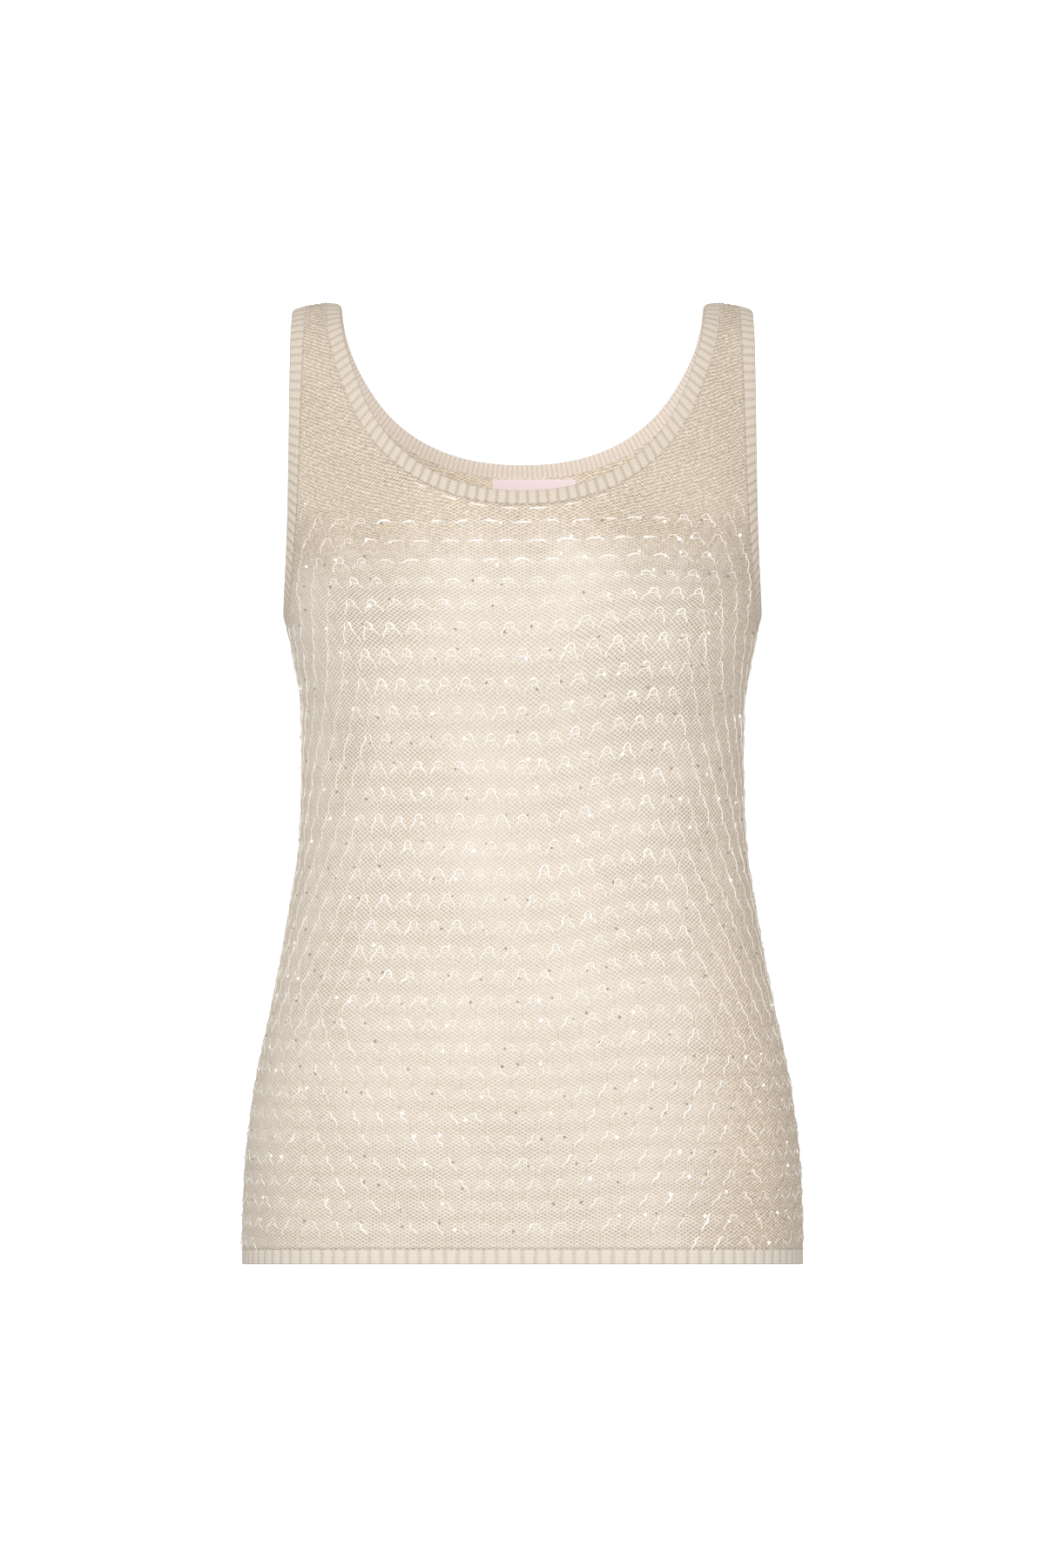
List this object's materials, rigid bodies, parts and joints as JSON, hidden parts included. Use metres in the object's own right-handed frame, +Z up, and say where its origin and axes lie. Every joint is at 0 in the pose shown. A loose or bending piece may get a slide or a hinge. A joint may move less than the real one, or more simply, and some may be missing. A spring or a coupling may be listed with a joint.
{
  "type": "sleeveless sequin knit top",
  "caption": "Sleeveless knitted tank top with a scooped neck, ribbed neckband, armbands and hem band, filled out as worn, hollow and open.",
  "frame": {"origin": "where the shoulders carry the straps: mid-way between the straps, at the underside of the cloth at the top of a strap", "axes": "+Z up the garment from hem to shoulders, -Y towards the front of the garment, +X towards the viewer's right when the front is seen"},
  "size_m": [0.3542, 0.2299, 0.6142],
  "materials": {
    "knit": "openwork knit in matt beige yarn with a pale shiny thread and scattered small sequins",
    "rib": "matt ribbed knit",
    "label": "soft satin, bare"
  },
  "bodies": {
    "root": {"front_panel": "knit", "back_panel": "knit", "neckband": "rib", "armband_right": "rib", "armband_left": "rib", "hem_band": "rib", "neck_label": "label"}
  },
  "joints": []
}
